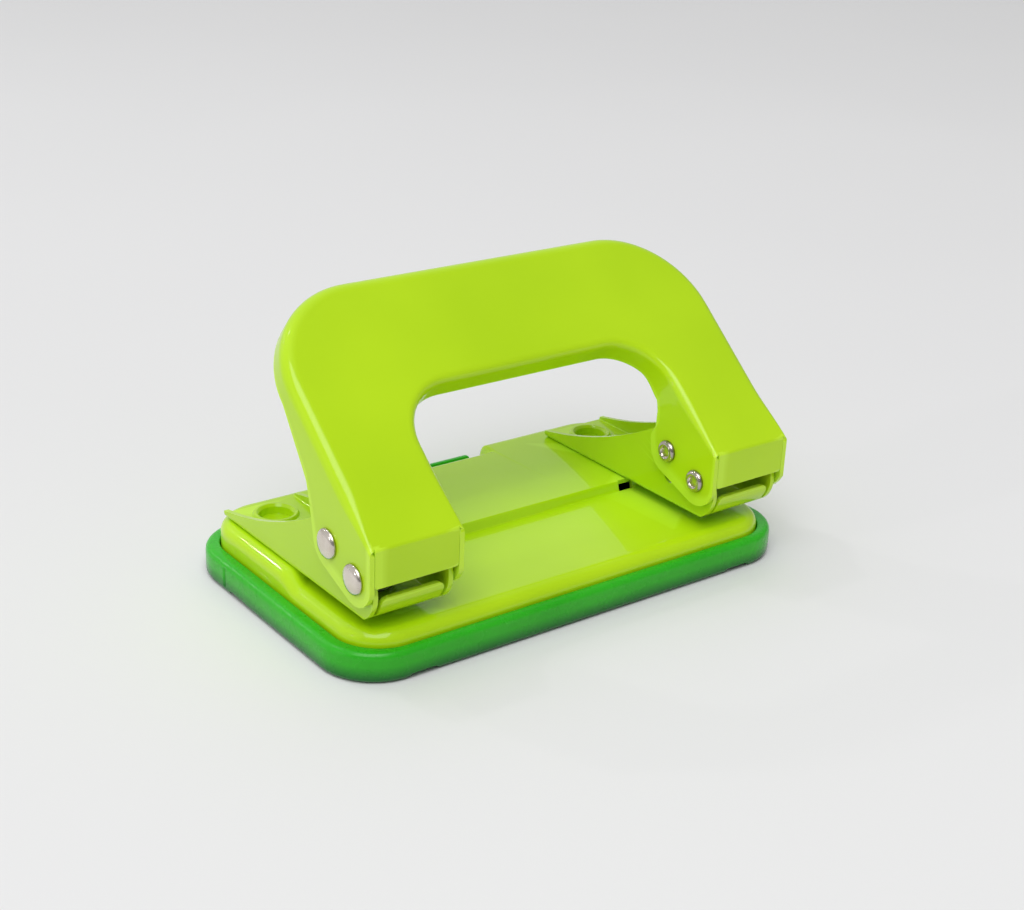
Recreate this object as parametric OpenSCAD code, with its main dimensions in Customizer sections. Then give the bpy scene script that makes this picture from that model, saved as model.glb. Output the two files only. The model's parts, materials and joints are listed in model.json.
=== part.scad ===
// Two-hole paper punch with a pressed arch handle, on a chip tray that clips on underneath.
// Frame: X runs along the row of holes, +Y is the paper stop side (rear), +Z is up.
// Origin: middle of the footprint, on the surface that the punch stands on.

/* [Punching] */
// Distance between the two hole centres
hole_spacing = 80; // [78:0.5:82]
// Diameter of the punched hole
hole_d = 6; // [5:0.5:6.5]
// Angle that the handle is pressed through
press_angle = 34; // [20:1:38]
// Height of the gap that the paper goes into
throat_h = 2.1; // [1.6:0.1:2.5]

/* [Tray and base] */
// Width of the chip tray, along the row of holes
tray_w = 107.1; // [104:0.5:112]
// Depth of the chip tray, front to rear
tray_d = 63.6; // [62:0.2:68]
// Height of the chip tray's rim
tray_h = 6.1; // [5:0.1:7]
// Corner radius of the chip tray, seen from above
tray_r = 11.5; // [9:0.5:13]
// Wall thickness of the chip tray at the front and the back
tray_wall = 1.9; // [1.2:0.1:2.2]
// Wall thickness of the chip tray at its two ends
tray_end_wall = 2.9; // [1.4:0.1:3.2]
// Height of the raised rear deck of the base plate
deck_z = 10.9; // [10.5:0.1:12]
// Depth position of the step that stops the paper
step_y = -3.4; // [-5:0.2:-2]
// Thickness of all the pressed sheet steel
sheet = 1; // [0.8:0.1:1.1]

/* [Handle] */
// Angle of the handle's top plate above the horizontal, at rest
plate_tilt = 40; // [38:1:42]
// Length of the top plate up the slope, from the fold to the top of the arch
plate_len = 53.4; // [50:0.2:56]
// Outer width of one handle leg
leg_w = 19.8; // [19:0.2:20.4]
// Outer corner radius of the arch
arch_r = 20; // [16:1:24]
// Length from the fold up to the top of the finger opening
opening_len = 28.6; // [26:0.2:30]
// Corner radius of the finger opening
opening_r = 11; // [8:1:14]
// Depth of the flange that runs round the arch
flange_d = 5.4; // [4:0.2:7]

/* [Linkage] */
// Height of the pivot pin above the table
pivot_z = 19.6; // [19.4:0.1:20]
// Distance from the pivot pin to the drive pin
arm = 9.3; // [9:0.1:9.6]
// Angle of the line from the pivot pin to the drive pin above the horizontal, at rest
arm_angle = 21; // [19:1:23]
// Diameter of the shank of the four riveted pins
pin_d = 3.5; // [3:0.1:3.8]

/* [Hidden] */
$fn = 64;
eps = 0.01;

// Colours of the finishes
lime = [0.69, 0.86, 0.11];
tray_green = [0.24, 0.66, 0.25, 0.75];
nickel = [0.80, 0.77, 0.73];
steel = [0.62, 0.63, 0.65];

// Running clearances between parts that turn or slide on each other
run_gap = 0.08;
cheek_gap = 0.45;
tray_gap = 0.25;

// Linkage
pivot_y = 5.95 - tray_d / 2;
rest_y = pivot_y + arm * cos(arm_angle);
rest_z = pivot_z + arm * sin(arm_angle);
punch_y = pivot_y + arm * (1 + cos(arm_angle)) / 2;

// Base plate, whose skirt stands inside the tray's rim
front_deck_z = deck_z - throat_h;
pan_w = tray_w - 2 * tray_end_wall;
pan_d = tray_d - 2 * tray_wall;
pan_r = tray_r - tray_wall;
base_w = pan_w - 2 * tray_gap;
base_d = pan_d - 2 * tray_gap;
base_r = pan_r - tray_gap;
shoulder_r = 2.6;
skirt_z = 2.2;
step_run = 0.7;
die_gap = 0.05;
// Relief slot in the step, part of it under each bracket's inner cheek
notch_x = 31.9;
notch_w = 3.8;
notch_d = 0.9;
scoop_half = 17.5;
scoop_run = 5.7;
scoop_drop = 3.6;

// Chip tray
tray_floor = 1.3;
tray_edge_r = 1.2;
lug_len = 9;
lug_t = 1.2;
lug_h = 3.4;
tab_half = 16;
tab_top_z = tray_h + 2.1;

// Bracket
channel_w = leg_w - 2 * (sheet + cheek_gap);
bend_r = 1.3;
floor_top = deck_z + sheet;
wing_end = [pivot_y + 50.5, deck_z + 1.6];
wing_start = [pivot_y + 13, pivot_z + 7.1];
hollow_r = 105;
lip_top_z = deck_z + 5.6;
lip_gap = 0.8;
lip_corner_r = 1.5;
lip_root_z = floor_top + 0.9;
front_r = 6;
front_edge_y = pivot_y - 4;
front_bend = [front_edge_y + front_r, deck_z + front_r];
cheek_top_z = pivot_z + 7.1;
rivet_ys = [4, 19];
rivet_r = 3.9;
rivet_bore_r = 3.3;
rivet_base_t = 1.1;
rivet_head_r = 4.7;
rivet_head_h = 0.55;

// Handle
leg_x = hole_spacing / 2;
outer_x = leg_x + leg_w / 2;
inner_x = leg_x - leg_w / 2;
fold_y = pivot_y - 5.05;
fold_z = pivot_z + 7.15;
front_plate_h = 7.4;
fold_r = 1.7;
opening_flange_d = 7.4;
plate_corner_r = 1.3;
skirt_below = 10;
skirt_depth = 18;
seam = 0.35;
lobe_r = 5.2;

// Riveted pins
pin_r = pin_d / 2;
outer_head = [2.9, 0.6, 0.7];
inner_head = [2.3, 0.3, 0.7];

// Punch and return spring
punch_r = hole_d / 2;
punch_tip_z = deck_z + 0.2;
cross_slot_w = pin_d + 0.9;
cross_slot_h = pin_d + 0.24;
punch_top_z = rest_z + pin_r + 1.6;
tip_cone_h = 0.9;
washer_t = 0.5;
washer_top_z = rest_z - pin_r - 0.12;
washer_r = punch_r + 1.7;
wire_d = 0.6;
coil_r = punch_r + 0.75;
spring_turns = 4.25;
spring_z0 = floor_top + 0.03;
spring_len = washer_top_z - washer_t - 0.03 - spring_z0;

// ---- Helpers -------------------------------------------------------------

// Extrudes a drawing of (Y, Z) along +X, from x0
module side_slab(x0, length) {
    translate([x0, 0, 0])
        rotate([90, 0, 90])
            linear_extrude(length)
                children();
}

// Extrudes a drawing of (X, Z) along +Y, from y0
module front_slab(y0, length) {
    translate([0, y0 + length, 0])
        rotate([90, 0, 0])
            linear_extrude(length)
                children();
}

// Rectangle from z0 to z1 whose two upper corners are round
module shouldered(half, z0, z1, r) {
    translate([-half, z0])
        square([2 * half, z1 - z0 - r]);
    translate([r - half, z0])
        square([2 * (half - r), z1 - z0]);
    for (side = [-1, 1])
        translate([side * (half - r), z1 - r])
            circle(r);
}

// Block with rounded corners in plan and a rounded upper edge all round
module pan(w, d, r, z0, z1, shoulder) {
    for (sx = [-1, 1], sy = [-1, 1])
        translate([sx * (w / 2 - r), sy * (d / 2 - r), 0])
            rotate_extrude()
                intersection() {
                    shouldered(r, z0, z1, shoulder);
                    translate([0, z0])
                        square([r, z1 - z0]);
                }
    front_slab(r - d / 2, d - 2 * r)
        shouldered(w / 2, z0, z1, shoulder);
    side_slab(r - w / 2, w - 2 * r)
        shouldered(d / 2, z0, z1, shoulder);
}

// Button head along +Z, given as [radius, height of its rim, rise of its dome]
module button_head(shape) {
    r = shape[0];
    rim = shape[1];
    rise = shape[2];
    dome_r = (r * r + rise * rise) / (2 * rise);
    cylinder(h = rim, r = r);
    translate([0, 0, rim])
        intersection() {
            translate([0, 0, rise - dome_r])
                sphere(dome_r);
            cylinder(h = rise + 1, r = r);
        }
}

// Riveted pin along X through one leg, with a large head outside and a smaller one inside
module riveted_pin(side, y, z) {
    translate([side * leg_x, y, z])
        rotate([0, side * 90, 0]) {
            cylinder(h = leg_w, r = pin_r, center = true);
            translate([0, 0, leg_w / 2])
                button_head(outer_head);
            translate([0, 0, -leg_w / 2])
                mirror([0, 0, 1])
                    button_head(inner_head);
        }
}

// ---- Base plate ----------------------------------------------------------

// Thumb scoop in the rear edge, which frees the chip tray's tab
module scoop(inset) {
    start = [base_d / 2 - scoop_run, deck_z];
    stop = [base_d / 2, deck_z - scoop_drop];
    down = [-scoop_drop, -scoop_run] / norm([scoop_run, scoop_drop]);
    far = (stop - start) / 2;
    half = scoop_half + inset;
    side_slab(-half, 2 * half)
        polygon([
            start - far + inset * down,
            stop + far + inset * down,
            [base_d, deck_z + 5],
            [start[0] - far[0], deck_z + 5]
        ]);
}

// Solid under the stepped top surface, drawn in by inset on every side
module base_block(inset) {
    r = base_r - inset;
    z0 = skirt_z - (inset > 0 ? 1 : 0);
    shoulder = shoulder_r - inset;
    w = base_w - 2 * inset;
    d = base_d - 2 * inset;
    front_y = step_y + inset;
    difference() {
        union() {
            pan(w, d, r, z0, front_deck_z - inset, shoulder);
            intersection() {
                pan(w, d, r, z0, deck_z - inset, shoulder);
                side_slab(-base_w, 2 * base_w)
                    polygon([
                        [front_y, z0 - 1],
                        [front_y, front_deck_z - inset],
                        [front_y + step_run, deck_z - inset],
                        [front_y + step_run, deck_z + 1],
                        [base_d, deck_z + 1],
                        [base_d, z0 - 1]
                    ]);
            }
        }
        scoop(inset);
    }
}

module base_plate() {
    color(lime)
        difference() {
            base_block(0);
            base_block(sheet);
            for (side = [-1, 1]) {
                translate([side * leg_x, punch_y, front_deck_z - 3])
                    cylinder(h = 4, r = punch_r + die_gap);
                for (y = rivet_ys)
                    translate([side * leg_x, y, deck_z - 3])
                        cylinder(h = 4, r = rivet_r);
                translate([side * notch_x - notch_w / 2, step_y - notch_d / 8, front_deck_z - 3])
                    cube([notch_w, notch_d, 6]);
            }
        }
}

// ---- Chip tray -----------------------------------------------------------

module tray_lugs() {
    y_in = base_d / 2 - sheet - tray_gap;
    x_in = base_w / 2 - sheet - tray_gap;
    for (side = [-1, 1]) {
        for (x = [-26, 0, 26])
            translate([x - lug_len / 2, side * (y_in - lug_t / 2) - lug_t / 2, tray_floor - eps])
                cube([lug_len, lug_t, lug_h]);
        for (y = [-11, 11])
            translate([side * (x_in - lug_t / 2) - lug_t / 2, y - lug_len / 2, tray_floor - eps])
                cube([lug_t, lug_len, lug_h]);
    }
}

// Tab that a thumb pulls to take the tray off
module tray_tab() {
    front_slab(tray_d / 2 - tray_wall, tray_wall)
        shouldered(tab_half, tray_h - 1, tab_top_z, 1.5);
}

module chip_tray() {
    color(tray_green) {
        difference() {
            translate([0, 0, tray_h])
                mirror([0, 0, 1])
                    pan(tray_w, tray_d, tray_r, 0, tray_h, tray_edge_r);
            translate([0, 0, tray_floor + tray_h])
                mirror([0, 0, 1])
                    pan(pan_w, pan_d, pan_r, 0, tray_h, 0.6);
        }
        tray_lugs();
        tray_tab();
    }
}

// ---- Brackets ------------------------------------------------------------

// Side outline of a bracket, filled; the wing's upper edge is a shallow hollow
module bracket_outline() {
    mid = (wing_start + wing_end) / 2;
    along = wing_end - wing_start;
    unit = along / norm(along);
    lift = sqrt(hollow_r * hollow_r - (along * along) / 4);
    difference() {
        union() {
            translate([pivot_y, pivot_z])
                circle(3.7);
            translate(front_bend)
                circle(front_r);
            polygon([
                [front_bend[0], deck_z],
                [wing_end[0], deck_z],
                wing_end,
                wing_start,
                [pivot_y + 1, cheek_top_z - 0.9],
                [pivot_y - 2.4, pivot_z + 2.8],
                [pivot_y - 3.7, pivot_z],
                [front_edge_y, front_bend[1]]
            ]);
        }
        translate(mid + lift * [-unit[1], unit[0]])
            circle(hollow_r, $fn = 256);
    }
}

// Side view of the space between a bracket's cheeks, open above the lip
module bracket_inside() {
    long = 80;
    translate(front_bend)
        circle(front_r - sheet);
    translate([front_bend[0], floor_top])
        square([long, 30]);
    translate([front_edge_y - 1, lip_top_z])
        square([long, 30]);
}

// Upright U section, drawn in (X, Z)
module channel_section(inset) {
    top = 30;
    translate([0, deck_z + inset + top])
        mirror([0, 1])
            shouldered(channel_w / 2 - inset, 0, top, bend_r - inset);
}

// Gaps that part the lip from the cheeks and round its upper corners
module lip_gaps() {
    inner_half = channel_w / 2 - sheet;
    front_slab(front_edge_y - 1, 5)
        difference() {
            translate([-inner_half, lip_root_z])
                square([2 * inner_half, lip_top_z - lip_root_z + 0.5]);
            shouldered(inner_half - lip_gap, lip_root_z - 1, lip_top_z, lip_corner_r);
        }
}

// Points on a circle about the pivot pin's axis, or about a point at the arm's length from it
function arc_points(centre, r, from, to, steps) =
    [for (i = [0:steps]) let (a = from + (to - from) * i / steps) centre + r * [cos(a), sin(a)]];

// Slot in both cheeks that the drive pin sweeps as the handle turns
module drive_slot() {
    slot_r = pin_r + run_gap;
    over = 1.2;
    start = arm_angle - press_angle - over;
    stop = arm_angle + over;
    steps = 14;
    translate([pivot_y, pivot_z])
        polygon(concat(
            arc_points([0, 0], arm + slot_r, start, stop, steps),
            arc_points(arm * [cos(stop), sin(stop)], slot_r, stop + 15, stop + 165, steps),
            arc_points([0, 0], arm - slot_r, stop, start, steps),
            arc_points(arm * [cos(start), sin(start)], slot_r, start - 165, start - 15, steps)
        ));
}

module bracket_shell() {
    y0 = front_edge_y - 5;
    difference() {
        intersection() {
            front_slab(y0, 80)
                channel_section(0);
            side_slab(-channel_w, 2 * channel_w)
                bracket_outline();
        }
        intersection() {
            front_slab(y0, 80)
                channel_section(sheet);
            side_slab(-channel_w, 2 * channel_w)
                bracket_inside();
        }
        lip_gaps();
    }
}

module bracket(side) {
    color(lime)
        translate([side * leg_x, 0, 0])
            difference() {
                bracket_shell();
                side_slab(-channel_w, 2 * channel_w) {
                    drive_slot();
                    translate([pivot_y, pivot_z])
                        circle(pin_r + run_gap);
                }
                translate([0, punch_y, deck_z - 1])
                    cylinder(h = 4, r = punch_r + die_gap);
                for (y = rivet_ys)
                    translate([0, y, deck_z - 1])
                        cylinder(h = 4, r = rivet_r);
            }
}

// Cupped rivets, painted over, that hold a bracket's floor down on the rear deck
module bracket_rivets(side) {
    top_z = floor_top + rivet_head_h;
    low_z = deck_z - sheet - rivet_head_h;
    flare = 0.5;
    color(lime)
        for (y = rivet_ys)
            translate([side * leg_x, y, 0])
                difference() {
                    union() {
                        translate([0, 0, low_z])
                            cylinder(h = top_z - low_z, r = rivet_r);
                        translate([0, 0, floor_top])
                            cylinder(h = rivet_head_h, r1 = rivet_head_r, r2 = rivet_head_r - 0.4);
                        translate([0, 0, low_z])
                            cylinder(h = rivet_head_h, r1 = rivet_head_r - 0.4, r2 = rivet_head_r);
                    }
                    translate([0, 0, low_z + rivet_base_t])
                        cylinder(h = top_z - low_z, r = rivet_bore_r);
                    translate([0, 0, top_z - flare])
                        cylinder(h = 2 * flare, r1 = rivet_bore_r, r2 = rivet_bore_r + 2 * flare);
                }
}

// ---- Handle --------------------------------------------------------------

// Places its children on the top plate: X, distance up the slope, height over the outer face
module on_plate() {
    translate([0, fold_y, fold_z])
        rotate([plate_tilt, 0, 0])
            children();
}

// Upright rectangle with two round upper corners, from below the fold
module round_top(half, length, r) {
    translate([0, -skirt_below])
        shouldered(half, 0, length + skirt_below, r);
}

// Outline of the arch, drawn in by inset on every edge; it runs on below the fold
module arch(inset) {
    difference() {
        round_top(outer_x - inset, plate_len - inset, arch_r - inset);
        round_top(inner_x + inset, opening_len + inset, opening_r + inset);
    }
}

// Quarter of a ring of round bar, about the corner centre
module corner_bar(centre, radius, bar_r, turn) {
    translate(centre)
        rotate([0, 0, turn])
            rotate_extrude(angle = 90)
                translate([radius, 0])
                    circle(bar_r);
}

// Round bar that follows an upside-down U, which gives the arch its rounded bends
module bar_path(half, length, r, bar_r) {
    for (side = [-1, 1]) {
        translate([side * half, -skirt_below, 0])
            rotate([-90, 0, 0])
                cylinder(h = skirt_below + length - r, r = bar_r);
        corner_bar([side * (half - r), length - r, 0], r, bar_r, side > 0 ? 0 : 90);
    }
    translate([r - half, length, 0])
        rotate([0, 90, 0])
            cylinder(h = 2 * (half - r), r = bar_r);
}

// Solid arch with rounded upper edges, inset inside the handle's outer skin
module arch_block(inset) {
    bar_r = fold_r - inset;
    translate([0, 0, -skirt_depth - inset])
        linear_extrude(skirt_depth + inset - fold_r)
            arch(inset);
    translate([0, 0, -fold_r - eps])
        linear_extrude(bar_r + eps)
            arch(fold_r);
    translate([0, 0, -fold_r]) {
        bar_path(outer_x - fold_r, plate_len - fold_r, arch_r - fold_r, bar_r);
        bar_path(inner_x + fold_r, opening_len + fold_r, opening_r + fold_r, bar_r);
    }
}

// Point at a distance up the slope from the fold and a depth under the outer face, in (Y, Z)
function slope_point(along, depth) =
    [fold_y, fold_z]
    + along * [cos(plate_tilt), sin(plate_tilt)]
    + depth * [sin(plate_tilt), -cos(plate_tilt)];

// Side view of the handle, drawn in (Y, Z): lobes round both pins, then a taper up to the arch
module handle_outline() {
    pivot = [pivot_y, pivot_z];
    drive = [rest_y, rest_z];
    square_off = [sin(arm_angle), -cos(arm_angle)];
    for (centre = [pivot, drive])
        translate(centre)
            circle(lobe_r);
    polygon([
        slope_point(0, 0),
        [fold_y, pivot_z - 1.6],
        [fold_y + 1.2, pivot_z - 3.5],
        pivot + lobe_r * [-0.6, -0.8],
        pivot + lobe_r * square_off,
        drive + lobe_r * square_off,
        drive + lobe_r * [1, 0],
        pivot + [14.9, 8.3],
        pivot + [16.1, 12.8],
        slope_point(plate_len - arch_r - 0.7, flange_d),
        slope_point(plate_len + 1, flange_d),
        slope_point(plate_len + 1, 0)
    ]);
}

// What is trimmed off the two inner flanges, which are narrower than the outer ones
module inner_trim() {
    pivot = [pivot_y, pivot_z];
    polygon([
        pivot + [15.5, 3],
        pivot + [12.8, 7.3],
        pivot + [12.6, 11],
        slope_point(opening_len - opening_r - 0.7, opening_flange_d),
        slope_point(opening_len - opening_r / 2, flange_d),
        slope_point(opening_len + 2.5, flange_d),
        slope_point(opening_len + 2.5, 40)
    ]);
}

// Plate that is folded down over the front of a leg, with a seam at each side flange
module front_plate(side) {
    half = leg_w / 2 - sheet - seam;
    translate([side * leg_x, 0, fold_z])
        front_slab(fold_y, sheet)
            shouldered(half, -front_plate_h, 0, plate_corner_r);
}

module handle() {
    color(lime)
        difference() {
            union() {
                intersection() {
                    difference() {
                        on_plate()
                            arch_block(0);
                        on_plate()
                            arch_block(sheet);
                    }
                    side_slab(-outer_x - 1, 2 * outer_x + 2)
                        handle_outline();
                }
                for (side = [-1, 1])
                    front_plate(side);
            }
            side_slab(-leg_x, 2 * leg_x)
                inner_trim();
            side_slab(-outer_x - 1, 2 * outer_x + 2)
                for (centre = [[pivot_y, pivot_z], [rest_y, rest_z]])
                    translate(centre)
                        circle(pin_r + run_gap);
        }
}

// ---- Linkage -------------------------------------------------------------

module pivot_pin(side) {
    color(nickel)
        riveted_pin(side, pivot_y, pivot_z);
}

module drive_pin(side) {
    color(nickel)
        riveted_pin(side, rest_y, rest_z);
}

// Sleeve on the pivot pin that keeps the two cheeks apart
module pivot_sleeve(side) {
    length = channel_w - 2 * sheet - 0.2;
    color(steel)
        translate([side * leg_x, pivot_y, pivot_z])
            rotate([0, 90, 0])
                difference() {
                    cylinder(h = length, r = 2.9, center = true);
                    cylinder(h = length + 1, r = pin_r + run_gap, center = true);
                }
}

// Punch with a hollow-ground tip and a cross slot for the drive pin
module punch(side) {
    color(steel)
        translate([side * leg_x, punch_y, 0])
            difference() {
                translate([0, 0, punch_tip_z])
                    cylinder(h = punch_top_z - punch_tip_z, r = punch_r);
                translate([0, 0, punch_tip_z - eps])
                    cylinder(h = tip_cone_h, r1 = punch_r - 0.35, r2 = 0);
                translate([0, 0, rest_z])
                    rotate([0, 90, 0])
                        linear_extrude(4 * punch_r, center = true)
                            cross_slot();
            }
}

// Round-ended slot, long way front to rear, drawn square to the punch
module cross_slot() {
    r = cross_slot_h / 2;
    run = cross_slot_w - cross_slot_h;
    square([2 * r, run], center = true);
    for (side = [-1, 1])
        translate([0, side * run / 2])
            circle(r);
}

// Washer between the return spring and the drive pin
module spring_washer(side) {
    color(steel)
        translate([side * leg_x, punch_y, washer_top_z - washer_t])
            difference() {
                cylinder(h = washer_t, r = washer_r);
                translate([0, 0, -1])
                    cylinder(h = washer_t + 2, r = punch_r + run_gap);
            }
}

// Height along the spring's wire, with closed end coils
function coil_rise(turn) =
    let (
        closed = 0.75,
        open = spring_turns - 2 * closed,
        pitch = (spring_len - wire_d - 2 * closed * wire_d) / open
    )
    turn < closed ? turn * wire_d
    : turn > spring_turns - closed ? spring_len - wire_d - (spring_turns - turn) * wire_d
    : closed * wire_d + (turn - closed) * pitch;

// Ring of points round the wire at one place along the coil
function wire_ring(turn, sides) =
    let (a = 360 * turn)
    [for (k = [0:sides - 1])
        let (b = 360 * k / sides, reach = coil_r + wire_d / 2 * cos(b))
        [reach * cos(a), reach * sin(a), wire_d / 2 + coil_rise(turn) + wire_d / 2 * sin(b)]];

module return_spring(side) {
    sides = 8;
    rings = 86;
    points = [for (i = [0:rings - 1]) each wire_ring(spring_turns * i / (rings - 1), sides)];
    walls = [for (i = [0:rings - 2], k = [0:sides - 1])
        let (next = (k + 1) % sides)
        [i * sides + k, i * sides + next, (i + 1) * sides + next, (i + 1) * sides + k]];
    near_end = [for (k = [sides - 1:-1:0]) k];
    far_end = [for (k = [0:sides - 1]) (rings - 1) * sides + k];
    color(steel)
        translate([side * leg_x, punch_y, spring_z0])
            polyhedron(points, concat(walls, [near_end, far_end]));
}

// ---- Parts ---------------------------------------------------------------

base_plate();
chip_tray();
handle();
bracket(-1);  // left_bracket
bracket(1);  // right_bracket
bracket_rivets(-1);  // left_bracket_rivets
bracket_rivets(1);  // right_bracket_rivets
pivot_pin(-1);  // left_pivot_pin
pivot_pin(1);  // right_pivot_pin
pivot_sleeve(-1);  // left_pivot_sleeve
pivot_sleeve(1);  // right_pivot_sleeve
drive_pin(-1);  // left_drive_pin
drive_pin(1);  // right_drive_pin
punch(-1);  // left_punch
punch(1);  // right_punch
spring_washer(-1);  // left_spring_washer
spring_washer(1);  // right_spring_washer
return_spring(-1);  // left_return_spring
return_spring(1);  // right_return_spring
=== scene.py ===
"""Looks of the two-hole paper punch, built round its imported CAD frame."""

import json
import math

import bpy
from mathutils import Matrix, Vector
from mathutils.geometry import delaunay_2d_cdt


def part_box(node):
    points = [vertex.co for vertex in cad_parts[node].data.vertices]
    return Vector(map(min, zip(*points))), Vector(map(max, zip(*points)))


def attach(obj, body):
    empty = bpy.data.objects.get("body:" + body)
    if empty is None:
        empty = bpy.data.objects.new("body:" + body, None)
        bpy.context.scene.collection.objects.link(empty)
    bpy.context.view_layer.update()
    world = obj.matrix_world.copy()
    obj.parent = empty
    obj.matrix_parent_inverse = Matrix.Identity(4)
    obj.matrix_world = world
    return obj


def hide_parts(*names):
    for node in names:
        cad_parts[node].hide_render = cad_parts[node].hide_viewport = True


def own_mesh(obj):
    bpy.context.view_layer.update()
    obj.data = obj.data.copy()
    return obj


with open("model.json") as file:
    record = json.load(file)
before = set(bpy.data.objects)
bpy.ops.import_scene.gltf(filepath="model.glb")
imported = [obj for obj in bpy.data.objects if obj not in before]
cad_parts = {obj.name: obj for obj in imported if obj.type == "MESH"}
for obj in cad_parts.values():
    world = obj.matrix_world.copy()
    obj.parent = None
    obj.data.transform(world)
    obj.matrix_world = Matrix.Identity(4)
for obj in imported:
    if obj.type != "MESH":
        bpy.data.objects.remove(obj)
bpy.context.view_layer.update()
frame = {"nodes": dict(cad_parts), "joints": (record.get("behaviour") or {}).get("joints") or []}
NODES = frame["nodes"]
JOINTS = {joint["name"]: joint for joint in frame["joints"]}

# ---- Measures, in millimetres unless a name says otherwise ---------------

MM = 0.001


def node_box(name):
    """Lowest and highest corner of a CAD node, in millimetres."""
    low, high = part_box(name)
    return low / MM, high / MM


def middle(name):
    """Middle of a CAD node's box, in millimetres."""
    low, high = node_box(name)
    return (low + high) / 2


PIVOT_Y, PIVOT_Z = (value / MM for value in JOINTS["handle_press"]["pos_m"][1:])
DRIVE_Y, DRIVE_Z = middle("left_drive_pin")[1:]
LEG_X = middle("right_punch").x
OUTER_X = node_box("handle")[1].x
INNER_X = 2 * LEG_X - OUTER_X

# Handle, as a ribbon of pressed sheet that follows the arch
SHEET = 1.0
TILT = math.radians(40)
FOLD_Y = PIVOT_Y - 5.05
FOLD_Z = PIVOT_Z + 7.15
PLATE_LEN = 53.4
ARCH_R = 20.0
OPENING_LEN = 28.6
OPENING_R = 11.0
FLANGE_D = 5.4
OPENING_FLANGE_D = 7.2
FLANGE_NARROWS_OVER = 35
LOBE_R = 5.2
LOBE_STARTS_AT = -127
BEND_AT_FOLD = 0.8
BEND_FULL = {"outer": 2.3, "inner": 1.7}
BEND_GROWS_OVER = 13.0
SHEAR_ENDS_AT = 8.0
FRONT_FOLD_R = 1.0
FRONT_PLATE_H = 7.4
FRONT_PLATE_CORNER_R = 0.6

# Widths of the rounding along the edges
HANDLE_EDGE = 0.16
BASE_EDGE = 0.15
BRACKET_EDGE = 0.14
LUG_EDGE = 0.2
STEEL_EDGE = 0.08

# How finely the handle's mesh is divided
LEG_STATIONS = 30
CORNER_STATIONS = 22
TOP_STATIONS = 10
FLANGE_ROWS = 8
BEND_ROWS = 7
FOLD_ROWS = 6
FRONT_ROWS = 5
# Places across the top plate between the ends of its two bends, closer near the bends
PLATE_SHARES = [0.016, 0.1, 0.2, 0.35, 0.5, 0.65, 0.8, 0.9, 0.984]


def lerp(a, b, share):
    """Value a given share of the way from a to b."""
    return a + (b - a) * share


def smooth(low, high, value):
    """0 below low, 1 above high, with a smooth rise between."""
    share = min(max((value - low) / (high - low), 0), 1)
    return share * share * (3 - 2 * share)


def on_plate(x, along, depth, shear=0.0):
    """Point under the top plate: along runs up the slope, depth is square to it.

    A shear of 1 measures the depth straight down, as at the front fold.
    """
    along = along - depth * math.tan(TILT) * shear
    y = FOLD_Y + along * math.cos(TILT) + depth * math.sin(TILT)
    z = FOLD_Z + along * math.sin(TILT) - depth * math.cos(TILT)
    return Vector((x, y, z))


def slope_yz(along, depth):
    """The (y, z) of a point under the top plate."""
    point = on_plate(0, along, depth)
    return Vector((point.y, point.z))


def arc(centre, radius, start, stop, steps):
    """Points on a circle in (y, z), from one angle in degrees to another."""
    points = []
    for i in range(steps + 1):
        angle = math.radians(lerp(start, stop, i / steps))
        points.append(centre + radius * Vector((math.cos(angle), math.sin(angle))))
    return points


def resample(points, count):
    """The same path as count + 1 points at even distances."""
    lengths = [0.0]
    for a, b in zip(points, points[1:]):
        lengths.append(lengths[-1] + (b - a).length)
    result = []
    segment = 0
    for i in range(count + 1):
        target = lengths[-1] * i / count
        while segment < len(points) - 2 and lengths[segment + 1] < target:
            segment += 1
        share = (target - lengths[segment]) / (lengths[segment + 1] - lengths[segment])
        result.append(points[segment].lerp(points[segment + 1], min(share, 1)))
    return result


def lobe_edge():
    """Lower edge of a leg's side flange, round both pins, in (y, z)."""
    pivot = Vector((PIVOT_Y, PIVOT_Z))
    drive = Vector((DRIVE_Y, DRIVE_Z))
    along = (drive - pivot).normalized()
    square = math.degrees(math.atan2(along.y, along.x)) - 90
    front = [Vector((FOLD_Y, PIVOT_Z - 1.6)), Vector((FOLD_Y + 1.2, PIVOT_Z - 3.5))]
    round_pivot = arc(pivot, LOBE_R, LOBE_STARTS_AT, square, 8)
    return front + round_pivot + arc(drive, LOBE_R, square, 0, 10)


def outer_edge():
    """Lower edge of a leg's outer flange, up to where the arch's corner starts."""
    pivot = Vector((PIVOT_Y, PIVOT_Z))
    rise = [
        pivot + Vector((14.9, 8.3)),
        pivot + Vector((16.1, 12.8)),
        slope_yz(PLATE_LEN - ARCH_R, FLANGE_D),
    ]
    return resample(lobe_edge() + rise, LEG_STATIONS)


def inner_edge():
    """Lower edge of a leg's inner flange, up to where the opening's corner starts."""
    pivot = Vector((PIVOT_Y, PIVOT_Z))
    rise = [
        pivot + Vector((14.2, 5.0)),
        pivot + Vector((12.8, 7.3)),
        pivot + Vector((12.6, 11.0)),
        slope_yz(OPENING_LEN - OPENING_R, OPENING_FLANGE_D),
    ]
    return resample(lobe_edge() + rise, LEG_STATIONS)


def leg_station(share, outer_low, inner_low):
    """Station on a leg, whose flanges reach down to edges of their own shape."""
    return {
        "outer": (-OUTER_X, share * (PLATE_LEN - ARCH_R)),
        "inner": (-INNER_X, share * (OPENING_LEN - OPENING_R)),
        "outer_in": (1, 0),
        "inner_in": (-1, 0),
        "outer_low": outer_low,
        "inner_low": inner_low,
    }


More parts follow.
